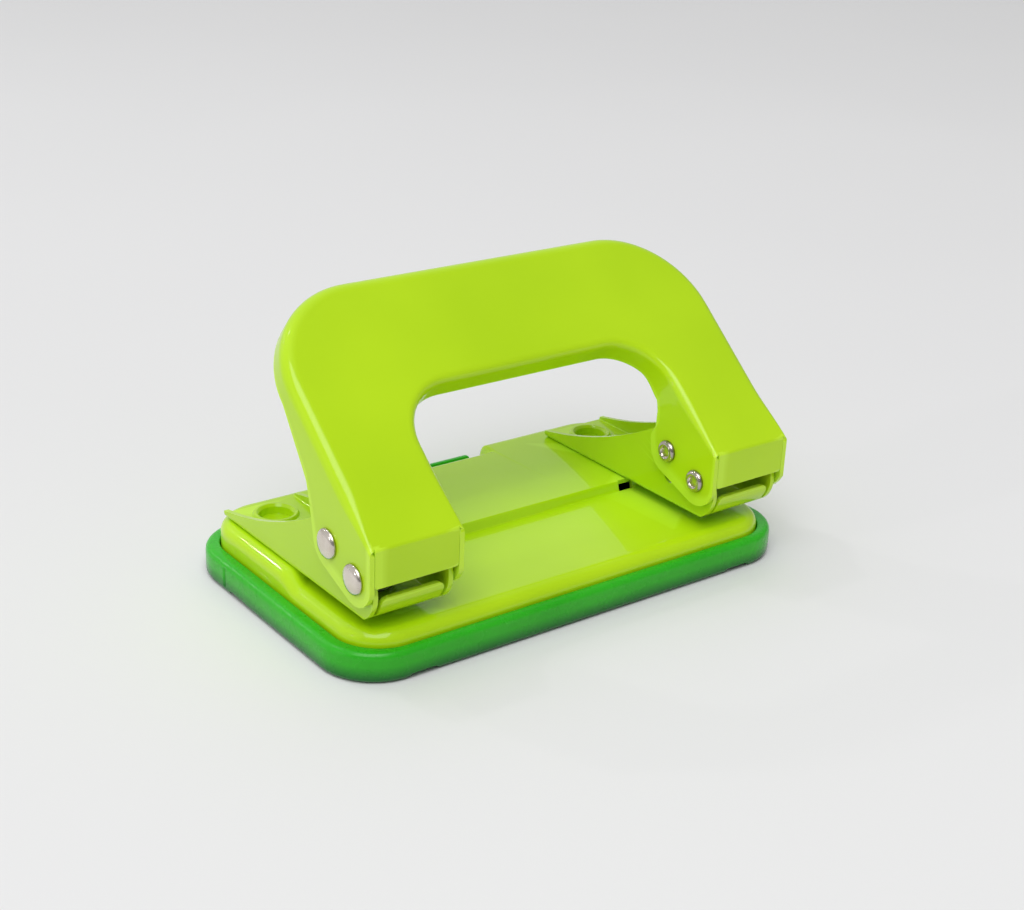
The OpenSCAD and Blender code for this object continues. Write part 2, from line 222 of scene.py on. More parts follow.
def corner_station(turn):
    """Station in the arch's round corner, at a turn in radians from the leg."""
    cos, sin = math.cos(turn), math.sin(turn)
    narrowing = smooth(0, FLANGE_NARROWS_OVER, math.degrees(turn))
    return {
        "outer": (ARCH_R - OUTER_X - ARCH_R * cos, PLATE_LEN - ARCH_R + ARCH_R * sin),
        "inner": (
            OPENING_R - INNER_X - OPENING_R * cos,
            OPENING_LEN - OPENING_R + OPENING_R * sin,
        ),
        "outer_in": (cos, -sin),
        "inner_in": (-cos, sin),
        "outer_depth": FLANGE_D,
        "inner_depth": lerp(OPENING_FLANGE_D, FLANGE_D, narrowing),
    }


def top_station(share):
    """Station on the straight top of the arch, from its left end to the middle."""
    return {
        "outer": (lerp(ARCH_R - OUTER_X, 0, share), PLATE_LEN),
        "inner": (lerp(OPENING_R - INNER_X, 0, share), OPENING_LEN),
        "outer_in": (0, -1),
        "inner_in": (0, 1),
        "outer_depth": FLANGE_D,
        "inner_depth": FLANGE_D,
    }


def half_stations():
    """Stations of the arch's left half: edge points, ways into the sheet, flange depths."""
    lows = zip(outer_edge(), inner_edge())
    stations = [leg_station(i / LEG_STATIONS, *low) for i, low in enumerate(lows)]
    for i in range(1, CORNER_STATIONS + 1):
        stations.append(corner_station(math.radians(90 * i / CORNER_STATIONS)))
    for i in range(1, TOP_STATIONS + 1):
        stations.append(top_station(i / TOP_STATIONS))
    return stations


def flange_row(edge, radius, shear, low_yz, depth):
    """Points down one flange, from the end of its bend to its free edge."""
    x, along = edge
    top = on_plate(x, along, radius, shear)
    if low_yz is None:
        bottom = on_plate(x, along, depth)
    else:
        bottom = Vector((x, low_yz.x, low_yz.y))
    return [top.lerp(bottom, i / FLANGE_ROWS) for i in range(1, FLANGE_ROWS + 1)]


def bend_row(edge, inward, radius, shear):
    """Points round one bend, from the flange to the top plate."""
    points = []
    for i in range(BEND_ROWS + 1):
        turn = math.radians(90 * i / BEND_ROWS)
        offset = radius * (1 - math.cos(turn))
        depth = radius * (1 - math.sin(turn))
        x = edge[0] + inward[0] * offset
        along = edge[1] + inward[1] * offset
        points.append(on_plate(x, along, depth, shear))
    return points


def section_side(station, side):
    """Bend and flange on the outer or inner side of one cross-section."""
    edge = station[side]
    radius = lerp(BEND_AT_FOLD, BEND_FULL[side], smooth(0, BEND_GROWS_OVER, edge[1]))
    shear = 1 - smooth(0, SHEAR_ENDS_AT, edge[1])
    bend = bend_row(edge, station[side + "_in"], radius, shear)
    low_yz, depth = station.get(side + "_low"), station.get(side + "_depth")
    return bend, flange_row(edge, radius, shear, low_yz, depth)


def section(station):
    """One cross-section of the ribbon, from the outer free edge to the inner one."""
    outer_bend, outer_flange = section_side(station, "outer")
    inner_bend, inner_flange = section_side(station, "inner")
    plate = [outer_bend[-1].lerp(inner_bend[-1], share) for share in PLATE_SHARES]
    return outer_flange[::-1] + outer_bend + plate + inner_bend[::-1] + inner_flange


def mirrored(points):
    """The same points on the other side of the middle plane."""
    return [Vector((-p.x, p.y, p.z)) for p in points]


def front_places(half):
    """(y, z, half width) down a leg's front: round the fold, down and round the corners."""
    start = FRONT_FOLD_R * math.tan((math.pi / 2 - TILT) / 2)
    first = on_plate(0, start, 0)
    centre_y = first.y + FRONT_FOLD_R * math.sin(TILT)
    centre_z = first.z - FRONT_FOLD_R * math.cos(TILT)
    corner_z = FOLD_Z - FRONT_PLATE_H + FRONT_PLATE_CORNER_R
    places = []
    for i in range(FOLD_ROWS + 1):
        turn = lerp(math.pi / 2 + TILT, math.pi, i / FOLD_ROWS)
        places.append((centre_y + FRONT_FOLD_R * math.cos(turn),
                       centre_z + FRONT_FOLD_R * math.sin(turn), half))
    for i in range(1, FRONT_ROWS + 1):
        places.append((FOLD_Y, lerp(centre_z, corner_z, i / FRONT_ROWS), half))
    for i in range(1, FRONT_ROWS + 1):
        turn = math.radians(90 * i / FRONT_ROWS)
        width = half - FRONT_PLATE_CORNER_R * (1 - math.cos(turn))
        places.append((FOLD_Y, corner_z - FRONT_PLATE_CORNER_R * math.sin(turn), width))
    return places


def front_rows(columns):
    """Rows of points that carry the top plate's front edge down over a leg's front."""
    centre_x = (columns[0].x + columns[-1].x) / 2
    half = abs(columns[-1].x - centre_x)
    rows = []
    for y, z, width in front_places(half):
        rows.append([
            Vector((centre_x + (point.x - centre_x) * width / half, y, z))
            for point in columns
        ])
    return rows


class Surface:
    """Collects points and faces for one mesh, in millimetres."""

    def __init__(self):
        self.points = []
        self.faces = []

    def row(self, points):
        """Adds a row of points and returns their numbers."""
        first = len(self.points)
        self.points.extend(points)
        return list(range(first, len(self.points)))

    def join(self, a, b, flip=False):
        """Faces between two rows of equal length."""
        for i in range(len(a) - 1):
            face = (a[i], a[i + 1], b[i + 1], b[i])
            self.faces.append(face[::-1] if flip else face)

    def tube(self, rings, flip=False):
        """Faces round a stack of rings, each joined to the next."""
        for a, b in zip(rings, rings[1:]):
            self.join(a + a[:1], b + b[:1], flip)

    def cap(self, ring, flip=False):
        """One face across a ring."""
        self.faces.append(tuple(ring[::-1] if flip else ring))

    def mesh(self, name):
        """A smooth Blender mesh of everything collected, in metres."""
        mesh = bpy.data.meshes.new(name)
        mesh.from_pydata([point * MM for point in self.points], [], self.faces)
        mesh.validate()
        mesh.shade_smooth()
        return mesh


def new_piece(name, mesh, material):
    """Puts a mesh in the scene as an object with one material."""
    obj = bpy.data.objects.new(name, mesh)
    bpy.context.scene.collection.objects.link(obj)
    mesh.materials.append(material)
    return obj


def add_bevel(obj, width, angle=40):
    """Rounds every edge that turns by more than an angle in degrees."""
    bevel = obj.modifiers.new("edge_rounding", "BEVEL")
    bevel.width = width * MM
    bevel.segments = 2
    bevel.limit_method = "ANGLE"
    bevel.angle_limit = math.radians(angle)
    bevel.harden_normals = False


def add_solidify(obj, thickness):
    """Gives a surface its thickness, on the side away from its normals."""
    solid = obj.modifiers.new("sheet_thickness", "SOLIDIFY")
    solid.thickness = thickness * MM
    solid.offset = -1
    solid.use_even_offset = True


def add_weighted_normals(obj):
    """Keeps large flat faces looking flat beside their rounded edges."""
    normals = obj.modifiers.new("even_shading", "WEIGHTED_NORMAL")
    normals.keep_sharp = True
    normals.weight = 60


def add_front(surface, columns, flip):
    """Carries one end of the top plate down over a leg's front."""
    rows = front_rows([surface.points[n] for n in columns])
    for number, point in zip(columns, rows[0]):
        surface.points[number] = point
    previous = columns
    for points in rows[1:]:
        current = surface.row(points)
        surface.join(previous, current, flip)
        previous = current


def build_handle(material):
    """The arch: one ribbon over both legs, with a plate folded down over each front."""
    left = [section(station) for station in half_stations()]
    rows = left + [mirrored(points) for points in left[-2::-1]]
    surface = Surface()
    numbers = [surface.row(points) for points in rows]
    for a, b in zip(numbers, numbers[1:]):
        surface.join(a, b)
    first = FLANGE_ROWS + BEND_ROWS + 1
    last = first + len(PLATE_SHARES)
    add_front(surface, numbers[0][first:last], True)
    add_front(surface, numbers[-1][first:last], False)
    handle = new_piece("handle_arch", surface.mesh("handle_arch"), material)
    add_solidify(handle, SHEET)
    add_bevel(handle, HANDLE_EDGE, angle=55)
    add_weighted_normals(handle)
    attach(handle, "handle")
    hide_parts("handle")


# ---- Pressed base and moulded tray ---------------------------------------

BASE_LOW, BASE_HIGH = node_box("base_plate")
TRAY_HIGH = node_box("chip_tray")[1]
DECK_Z = BASE_HIGH.z
THROAT_H = 2.1
FRONT_DECK_Z = DECK_Z - THROAT_H
BASE_CORNER_R = 9.35
SHOULDER_R = 2.6
STEP_MIDDLE_Y = -3.05
STEP_RUN = 0.9
STEP_RUN_AT_EDGE = 6.5
INNER_OFFSET = 6.0
SPREAD_FROM, SPREAD_TO = 1.5, INNER_OFFSET - 0.4
SCOOP_HALF = 17.5
SCOOP_SIDE_IN, SCOOP_SIDE_OUT = 0.5, 0.1
SCOOP_RUN = 5.7
SCOOP_EASE = 1.0
SCOOP_DROP = 3.6
DIE_R = 3.05
PUNCH_Y = middle("right_punch").y
CUP_R = 3.9
CUP_LIP_R = 4.7
CUP_LOW, CUP_HIGH = node_box("right_bracket_rivets")
CUP_YS = (CUP_LOW.y + CUP_LIP_R, CUP_HIGH.y - CUP_LIP_R)
NOTCH_X = 31.9
NOTCH_HALF = 1.9
NOTCH_YS = (-3.51, -2.61)

# How finely the base and the tray are divided
CORNER_STEPS = 16
SHOULDER_STEPS = 9
SKIRT_SHARES = (0, 0.25, 0.5, 0.75)
DECK_OFFSETS = [3.0, 3.4, 3.8, 4.2, 4.6, 5.0, 5.4, INNER_OFFSET]
STEP_LINES = 10
STEP_LINE_PARTS = 24
HOLE_SIDES = 48


def side_places(half, fine_at, fine_width, fine_step, coarse=2.0):
    """Places along a straight side from -half to half, closer together near given spots."""
    places = [-half]
    while places[-1] < half - 1e-6:
        here = places[-1]
        near = any(abs(here - spot) < fine_width for spot in fine_at)
        step = fine_step if near else coarse
        for spot in fine_at:
            start = spot - fine_width
            if here < start < here + step:
                step = start - here + 1e-6
        places.append(min(here + step, half))
    return places


def rounded_loop(half_x, half_y, corner_r, inset, xs, ys):
    """Points round a rectangle with round corners, drawn in by inset."""
    radius = max(corner_r - inset, 0.05)
    flat_x, flat_y = half_x - corner_r, half_y - corner_r
    sides = [
        (flat_x, flat_y, [(half_x - inset, y) for y in ys]),
        (-flat_x, flat_y, [(-x, half_y - inset) for x in xs]),
        (-flat_x, -flat_y, [(inset - half_x, y) for y in ys[::-1]]),
        (flat_x, -flat_y, [(x, inset - half_y) for x in xs]),
    ]
    points = []
    for number, (centre_x, centre_y, places) in enumerate(sides):
        points.extend(places)
        for i in range(1, CORNER_STEPS):
            turn = math.radians(90 * number + 90 * i / CORNER_STEPS)
            points.append((centre_x + radius * math.cos(turn),
                           centre_y + radius * math.sin(turn)))
    return points


def step_share(y, spread):
    """How far the deck has risen at a depth; spread is 1 out on the shoulder."""
    run = lerp(STEP_RUN, STEP_RUN_AT_EDGE, spread)
    return smooth(STEP_MIDDLE_Y - run / 2, STEP_MIDDLE_Y + run / 2, y)


def scoop_depth(x, y):
    """Depth of the thumb scoop in the rear edge."""
    across = 1 - smooth(SCOOP_HALF - SCOOP_SIDE_IN, SCOOP_HALF + SCOOP_SIDE_OUT, abs(x))
    front = BASE_HIGH.y - SCOOP_RUN - SCOOP_EASE
    return SCOOP_DROP * across * smooth(front, BASE_HIGH.y + SCOOP_EASE, y)


def deck_height(x, y, offset):
    """Height of the pressed base at a distance in from its outer edge."""
    spread = 1 - smooth(SPREAD_FROM, SPREAD_TO, offset)
    height = lerp(FRONT_DECK_Z, DECK_Z, step_share(y, spread)) - scoop_depth(x, y)
    if offset < SHOULDER_R:
        reach = SHOULDER_R - offset
        height -= SHOULDER_R - math.sqrt(max(SHOULDER_R ** 2 - reach ** 2, 0))
    return height


def round_outline(x, y, radius):
    """Points round a hole, anticlockwise."""
    turns = [math.radians(360 * k / HOLE_SIDES) for k in range(HOLE_SIDES)]
    return [Vector((x + radius * math.cos(t), y + radius * math.sin(t))) for t in turns]


def deck_holes():
    """Outlines of the holes in the base: dies, rivet cups and the slots in the step."""
    outlines = []
    for side in (-1, 1):
        outlines.append(round_outline(side * LEG_X, PUNCH_Y, DIE_R))
        outlines += [round_outline(side * LEG_X, y, CUP_R) for y in CUP_YS]
        low, high = side * NOTCH_X - NOTCH_HALF, side * NOTCH_X + NOTCH_HALF
        front, rear = NOTCH_YS
        outlines.append([Vector(corner) for corner in
                         ((low, front), (high, front), (high, rear), (low, rear))])
    return outlines


def inside(point, outline):
    """True where a point lies inside a convex outline drawn anticlockwise."""
    for a, b in zip(outline, outline[1:] + outline[:1]):
        if (b - a).cross(point - a) < 0:
            return False
    return True


def step_lines(half_x):
    """Rows of points across the deck, close together over the step."""
    lines = []
    for i in range(STEP_LINES + 1):
        y = STEP_MIDDLE_Y + STEP_RUN * (i / STEP_LINES - 0.5)
        lines.append([
            Vector((lerp(-half_x, half_x, k / STEP_LINE_PARTS), y))
            for k in range(STEP_LINE_PARTS + 1)
        ])
    return lines


def fill_deck(surface, rim, holes):
    """Triangles over the middle of the base, with lines along the step, round the holes."""
    flat = [Vector((surface.points[n].x, surface.points[n].y)) for n in rim]
    edges = [(i, (i + 1) % len(flat)) for i in range(len(flat))]
    for line in step_lines(max(point.x for point in flat)):
        first = len(flat)
        flat += line
        edges += [(first + k, first + k + 1) for k in range(len(line) - 1)]
    for outline in holes:
        first = len(flat)
        count = len(outline)
        flat += outline
        edges += [(first + k, first + (k + 1) % count) for k in range(count)]
    points, _, faces, origins, _, _ = delaunay_2d_cdt(flat, edges, [], 0, 1e-5)
    numbers = []
    for point, sources in zip(points, origins):
        on_rim = [source for source in sources if source < len(rim)]
        if on_rim:
            numbers.append(rim[on_rim[0]])
            continue
        height = deck_height(point.x, point.y, INNER_OFFSET)
        numbers.append(len(surface.points))
        surface.points.append(Vector((point.x, point.y, height)))
    for face in faces:
        centre = sum((points[n] for n in face), Vector((0, 0))) / len(face)
        if not any(inside(centre, outline) for outline in holes):
            surface.faces.append(tuple(numbers[n] for n in face))


def build_base(material):
    """The pressed base: skirt, rounded shoulder and stepped deck, with its holes."""
    half_x, half_y = BASE_HIGH.x, BASE_HIGH.y
    ys = side_places(half_y - BASE_CORNER_R, [STEP_MIDDLE_Y], fine_width=4.2, fine_step=0.25)
    ends = [-SCOOP_HALF, SCOOP_HALF]
    xs = side_places(half_x - BASE_CORNER_R, ends, fine_width=1.0, fine_step=0.2, coarse=1.5)
    turns = [math.radians(90 * i / SHOULDER_STEPS) for i in range(SHOULDER_STEPS + 1)]
    offsets = [SHOULDER_R * (1 - math.cos(turn)) for turn in turns] + DECK_OFFSETS
    surface = Surface()
    loops = []
    top_of_skirt = rounded_loop(half_x, half_y, BASE_CORNER_R, 0, xs, ys)
    for share in SKIRT_SHARES:
        loops.append(surface.row([
            Vector((x, y, lerp(BASE_LOW.z, deck_height(x, y, 0), share)))
            for x, y in top_of_skirt
        ]))
    for offset in offsets:
        loop = rounded_loop(half_x, half_y, BASE_CORNER_R, offset, xs, ys)
        loops.append(surface.row([
            Vector((x, y, deck_height(x, y, offset))) for x, y in loop
        ]))
    surface.tube(loops)
    fill_deck(surface, loops[-1], deck_holes())
    base = new_piece("pressed_base", surface.mesh("pressed_base"), material)
    add_solidify(base, SHEET)
    add_bevel(base, BASE_EDGE, angle=60)
    add_weighted_normals(base)
    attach(base, "base")
    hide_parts("base_plate")


# Chip tray
TRAY_CORNER_R = 11.5
TRAY_WALL = 1.9
TRAY_END_EXTRA = 1.0
ENDS_BEGIN_AT = 40.0
TRAY_FLOOR = 1.3
TRAY_RIM_Z = 6.1
TRAY_RIM_R = 1.3
TRAY_RIM_INNER_R = 0.3
TRAY_FOOT_R = 1.2
TRAY_INNERMOST = 5.0
TAB_HALF = 16.0
TAB_CORNER = 1.6
FOOT_NOTCH_H = 1.0
END_NOTCH_Y = 10.7
END_NOTCH_HALF = 3.0
FRONT_NOTCH_X = 38.5
FRONT_NOTCH_HALF = 2.8
NOTCH_SOFTNESS = 0.4
NOTCH_REACH = 3.0
GROOVE_Y = 15.4
GROOVE_HALF = 0.5
GROOVE_D = 0.35
END_BAND = 0.5
LUG_XS = (-26, 0, 26)
LUG_YS = (-11, 11)
LUG_LEN = 9.0
LUG_T = 1.2
LUG_TOP_Z = TRAY_FLOOR + 3.4
LUG_DRAFT = 0.12
LUG_GAP = 0.25


def quarter(offset, height, radius, start, stop, steps=5):
    """Quarter circle as (offset, height) pairs about a centre."""
    pairs = []
    for i in range(steps + 1):
        turn = math.radians(lerp(start, stop, i / steps))
        pairs.append((offset - radius * math.cos(turn), height + radius * math.sin(turn)))
    return pairs


def tray_profile():
    """Section of the tray's wall from under its floor up, over the rim and down inside.

    The straight walls have points part way up, for the foot's notches and the tab.
    """
    wall = TRAY_WALL
    foot = quarter(TRAY_FOOT_R, TRAY_FOOT_R, TRAY_FOOT_R, -90, 0, 7)
    rim = quarter(TRAY_RIM_R, TRAY_RIM_Z - TRAY_RIM_R, TRAY_RIM_R, 0, 90)
    inner = quarter(wall - TRAY_RIM_INNER_R, TRAY_RIM_Z - TRAY_RIM_INNER_R,
                    TRAY_RIM_INNER_R, 90, 180)
    pairs = [(TRAY_INNERMOST, 0.0)] + foot + [(0, 2.6), (0, 4.0)] + rim + inner
    pairs += [(wall, 3.0), (wall, TRAY_FLOOR + 0.5), (wall + 0.5, TRAY_FLOOR)]
    return pairs + [(TRAY_INNERMOST, TRAY_FLOOR)]


def tab_rise(x, y):
    """How far the tray's rim stands up at the thumb tab."""
    if y < TRAY_HIGH.y - TRAY_WALL - 0.01:
        return 0
    return (TRAY_HIGH.z - TRAY_RIM_Z) * (1 - smooth(TAB_HALF - TAB_CORNER, TAB_HALF, abs(x)))


def notch_share(distance, half):
    """1 within half of a notch's middle, falling softly to 0 past it."""
    return 1 - smooth(half - NOTCH_SOFTNESS, half + NOTCH_SOFTNESS, distance)


def foot_notch(x, y, half_x, half_y):
    """Height of the shallow finger notches along the tray's lower edge."""
    share = 0
    if abs(x) > half_x - NOTCH_REACH:
        share = notch_share(abs(y - END_NOTCH_Y), END_NOTCH_HALF)
    if y < NOTCH_REACH - half_y:
        share = max(share, notch_share(abs(abs(x) - FRONT_NOTCH_X), FRONT_NOTCH_HALF))
    return FOOT_NOTCH_H * share


def groove_depth(x, y, half_x):
    """Depth of the thin moulded groove down each end of the tray, near its back."""
    if abs(x) < half_x - END_BAND:
        return 0
    return GROOVE_D * (1 - smooth(0.3 * GROOVE_HALF, GROOVE_HALF, abs(y - GROOVE_Y)))


def tray_loop(offset, height, xs, ys):
    """Points round the tray at one place on its profile, with its tab, notches and grooves."""
    half_x, half_y = TRAY_HIGH.x, TRAY_HIGH.y
    share = smooth(TRAY_RIM_R, TRAY_WALL - TRAY_RIM_INNER_R, offset)
    points = []
    for x, y in rounded_loop(half_x, half_y, TRAY_CORNER_R, offset, xs, ys):
        x -= math.copysign(TRAY_END_EXTRA * share * min(1, abs(x) / ENDS_BEGIN_AT), x)
        z = height
        if height > TRAY_RIM_Z - TRAY_RIM_R - 0.1:
            z += tab_rise(x, y)
        if height < FOOT_NOTCH_H and offset < NOTCH_REACH + 1:
            z += foot_notch(x, y, half_x, half_y) * (1 - height)
        if offset == 0:
            x -= math.copysign(groove_depth(x, y, half_x), x)
        points.append(Vector((x, y, z)))
    return points


def build_tray(material):
    """The tray's shell, as one closed surface from under its floor to the top of it."""
    flat_x, flat_y = TRAY_HIGH.x - TRAY_CORNER_R, TRAY_HIGH.y - TRAY_CORNER_R
    ys = side_places(flat_y, [END_NOTCH_Y, GROOVE_Y], fine_width=4.0, fine_step=0.25)
    spots = [-FRONT_NOTCH_X, -TAB_HALF + 1, TAB_HALF - 1, FRONT_NOTCH_X]
    xs = side_places(flat_x, spots, fine_width=3.6, fine_step=0.4)
    surface = Surface()
    loops = [
        surface.row(tray_loop(offset, height, xs, ys)) for offset, height in tray_profile()
    ]
    surface.tube(loops)
    surface.cap(loops[0], True)
    surface.cap(loops[-1])
    tray = new_piece("moulded_tray", surface.mesh("moulded_tray"), material)
    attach(tray, "tray")
    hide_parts("chip_tray")


def add_lug(surface, x, y, half_x, half_y):
    """Upright lug on the tray's floor, about its middle, a little thinner at the top."""
    rings = []
    for z, draft in ((TRAY_FLOOR - 0.2, 0), (LUG_TOP_Z, LUG_DRAFT)):
        wide, deep = half_x - draft, half_y - draft
        corners = [(-wide, -deep), (wide, -deep), (wide, deep), (-wide, deep)]
        rings.append(surface.row([Vector((x + dx, y + dy, z)) for dx, dy in corners]))
    surface.tube(rings)
    surface.cap(rings[0], True)
    surface.cap(rings[-1])


def build_tray_lugs(material):
    """Lugs that stand just inside the base's skirt and hold the tray on."""
    surface = Surface()
    inset = SHEET + LUG_GAP + LUG_T / 2
    for side in (-1, 1):
        for x in LUG_XS:
            add_lug(surface, x, side * (BASE_HIGH.y - inset), LUG_LEN / 2, LUG_T / 2)
        for y in LUG_YS:
            add_lug(surface, side * (BASE_HIGH.x - inset), y, LUG_T / 2, LUG_LEN / 2)
    lugs = new_piece("moulded_tray_lugs", surface.mesh("moulded_tray_lugs"), material)
    add_bevel(lugs, LUG_EDGE)
    add_weighted_normals(lugs)
    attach(lugs, "tray")
    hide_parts("chip_tray")


# ---- Rivets --------------------------------------------------------------

PIN_R = 1.75
PIN_SIDES = 48
OUTER_HEAD_R = 2.9
OUTER_HEAD_RIM = 0.26
OUTER_HEAD_RISE = 1.04
DOME_STEPS = 14
INNER_HEAD_R = 2.3
# Rolled rim round a shallow cup, as (distance out from the leg's inner face, radius)
INNER_HEAD_SHAPE = [
    (-0.5, 0.02), (-0.48, 0.5), (-0.35, 0.8), (0.0, 0.95), (0.4, 1.0), (0.75, 1.08),
    (0.95, 1.25), (1.02, 1.5), (0.95, 1.8), (0.7, 2.1), (0.34, INNER_HEAD_R),
    (0.02, INNER_HEAD_R - 0.06),
]


def pin_profile():
    """(distance along the pin from the leg's middle, radius), from inner end to outer end."""
    face = OUTER_X - LEG_X
    profile = [(-face - out, radius) for out, radius in INNER_HEAD_SHAPE]
    profile += [(-face, PIN_R), (face, PIN_R), (face + 0.02, OUTER_HEAD_R - 0.08)]
    profile += [(face + 0.12, OUTER_HEAD_R), (face + OUTER_HEAD_RIM, OUTER_HEAD_R)]
    for i in range(1, DOME_STEPS + 1):
        turn = math.radians(90 * i / DOME_STEPS)
        along = face + (OUTER_HEAD_RIM + OUTER_HEAD_RISE * math.sin(turn))
        profile.append((along, max(OUTER_HEAD_R * math.cos(turn) ** 0.85, 0.02)))
    return profile


def build_pin(name, side, y, z, body, material):
    """One riveted pin through a leg, turned about its own axis."""
    surface = Surface()
    rows = []
    for along, radius in pin_profile():
        row = []
        for k in range(PIN_SIDES):
            turn = math.radians(360 * k / PIN_SIDES)
            row.append(Vector((side * (LEG_X + along),
                               y + radius * math.cos(turn) * side,
                               z + radius * math.sin(turn))))
        rows.append(surface.row(row))
    surface.tube(rows, True)
    surface.cap(rows[0])
    surface.cap(rows[-1], True)
    pin = new_piece(name + "_rivet", surface.mesh(name + "_rivet"), material)
    add_weighted_normals(pin)
    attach(pin, body)
    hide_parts(name)


# ---- Return springs ------------------------------------------------------

SPRING_LOW, SPRING_HIGH = node_box("right_return_spring")
WIRE_R = 0.3
SPRING_TURNS = 4.25
CLOSED_TURNS = 0.75
SPRING_STEPS = 28
WIRE_SIDES = 10


def spring_rise(turn, height):
    """Height up the spring at a turn; the first and last turns lie against each other."""
    closed_rise = CLOSED_TURNS * 2 * WIRE_R
    if turn < CLOSED_TURNS:
        return turn * 2 * WIRE_R
    if turn > SPRING_TURNS - CLOSED_TURNS:
        return height - (SPRING_TURNS - turn) * 2 * WIRE_R
    share = (turn - CLOSED_TURNS) / (SPRING_TURNS - 2 * CLOSED_TURNS)
    return lerp(closed_rise, height - closed_rise, share)


def build_spring(name, side, material):
    """One coil spring round its punch."""
    coil_r = (SPRING_HIGH.x - SPRING_LOW.x) / 2 - WIRE_R
    low, high = SPRING_LOW.z + WIRE_R, SPRING_HIGH.z - WIRE_R
    surface = Surface()
    rings = []
    count = int(SPRING_TURNS * SPRING_STEPS)
    for i in range(count + 1):
        turn = SPRING_TURNS * i / count
        angle = math.radians(360 * turn)
        z = low + spring_rise(turn, high - low)
        ring = []
        for k in range(WIRE_SIDES):
            around = math.radians(360 * k / WIRE_SIDES)
            radius = coil_r + WIRE_R * math.cos(around)
            ring.append(Vector((side * LEG_X + radius * math.cos(angle),
                                PUNCH_Y + radius * math.sin(angle),
                                z + WIRE_R * math.sin(around))))
        rings.append(surface.row(ring))
    surface.tube(rings)
    surface.cap(rings[0])
    surface.cap(rings[-1], True)
    spring = new_piece(name + "_coil", surface.mesh(name + "_coil"), material)
    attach(spring, "base")
    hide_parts(name)
    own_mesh(spring)


# ---- Materials -----------------------------------------------------------

# Linear colours, each a pair that the surface drifts between
LIME = ((0.43, 0.69, 0.003), (0.49, 0.76, 0.006))
LIME_EDGE = (0.55, 0.84, 0.03)
TRAY_GREEN = ((0.024, 0.39, 0.010), (0.032, 0.45, 0.014))
# Painted shade: the dark green that the tray's foot is given where shadow falls
TRAY_FOOT_PAINTED_SHADE = (0.006, 0.14, 0.016)
NICKEL = ((0.68, 0.61, 0.53), (0.80, 0.74, 0.67))
# Painted shade for the hollows of the rivet cups
CUP_PAINTED_SHADE = (0.06, 0.05, 0.04)
GROUND = ((0.36, 0.37, 0.39), (0.52, 0.53, 0.55))
WIRE = ((0.28, 0.29, 0.31), (0.42, 0.43, 0.45))
FLOOR = ((0.765, 0.765, 0.77), (0.785, 0.785, 0.79))

# Heights, in metres, between which the tray turns from the painted shade at its foot to its own
# green
TRAY_SHADE_FROM, TRAY_SHADE_TO = 0.0010, 0.0034
# Most of a noise lies between these two values
NOISE_LOW, NOISE_HIGH = 0.3, 0.7

class Nodes:
    """Short calls for building one material's node tree."""

    def __init__(self, name):
        self.material = bpy.data.materials.new(name)
        self.material.use_nodes = True
        self.tree = self.material.node_tree
        self.shader = self.tree.nodes["Principled BSDF"]
        self.place = self.add("ShaderNodeTexCoord").outputs["Object"]

    def add(self, kind, **values):
        """A new node with its own settings."""
        node = self.tree.nodes.new(kind)
        for key, value in values.items():
            setattr(node, key, value)
        return node

    def link(self, source, target):
        self.tree.links.new(source, target)

    def stretched(self, scale):
        """The object's own coordinates, scaled apart along X, Y and Z."""
        mapping = self.add("ShaderNodeMapping")
        mapping.inputs["Scale"].default_value = scale
        self.link(self.place, mapping.inputs["Vector"])
        return mapping.outputs["Vector"]

    def noise(self, scale, detail=3.0, roughness=0.5, vector=None):
        """Noise from 0 to 1 over the object, with scale cells to the metre."""
        node = self.add("ShaderNodeTexNoise")
        node.inputs["Scale"].default_value = scale
        node.inputs["Detail"].default_value = detail
        node.inputs["Roughness"].default_value = roughness
        self.link(vector or self.place, node.inputs["Vector"])
        return node.outputs["Fac"]

    def mapped(self, source, low, high, start=0.0, stop=1.0):
        """source from low..high made into start..stop."""
        node = self.add("ShaderNodeMapRange")
        node.inputs["From Min"].default_value = low
        node.inputs["From Max"].default_value = high
        node.inputs["To Min"].default_value = start
        node.inputs["To Max"].default_value = stop
        self.link(source, node.inputs["Value"])
        return node.outputs["Result"]

    def spread(self, noise, start=0.0, stop=1.0):
        """Noise stretched to fill start..stop."""
        return self.mapped(noise, NOISE_LOW, NOISE_HIGH, start, stop)

    def mix(self, share, a, b):
        """Colour a where share is 0 and b where it is 1; each a colour or a socket."""
        node = self.add("ShaderNodeMix", data_type="RGBA")
        self.link(share, node.inputs["Factor"])
        for socket, value in ((node.inputs[6], a), (node.inputs[7], b)):
            if isinstance(value, tuple):
                socket.default_value = (*value, 1)
            else:
                self.link(value, socket)
        return node.outputs[2]

    def edges(self, low, high):
        """0 in hollows and 1 along outer edges, from the mesh's own shape."""
        geometry = self.add("ShaderNodeNewGeometry")
        return self.mapped(geometry.outputs["Pointiness"], low, high)

    def bump(self, height, strength, distance):
        """Fine relief on the surface; distance is in metres."""
        node = self.add("ShaderNodeBump")
        node.inputs["Strength"].default_value = strength
        node.inputs["Distance"].default_value = distance
        self.link(height, node.inputs["Height"])
        self.link(node.outputs["Normal"], self.shader.inputs["Normal"])

    def set(self, **values):
        """Sets the shader's own sockets, named in lower case with underscores."""
        for key, value in values.items():
            name = key.replace("_", " ").title().replace("Ior", "IOR")
            self.shader.inputs[name].default_value = value

    def colour(self, source):
        self.link(source, self.shader.inputs["Base Color"])

    def roughness(self, noise, smoothest, roughest):
        """Roughness that drifts between two values with a noise."""
        self.link(self.spread(noise, smoothest, roughest), self.shader.inputs["Roughness"])


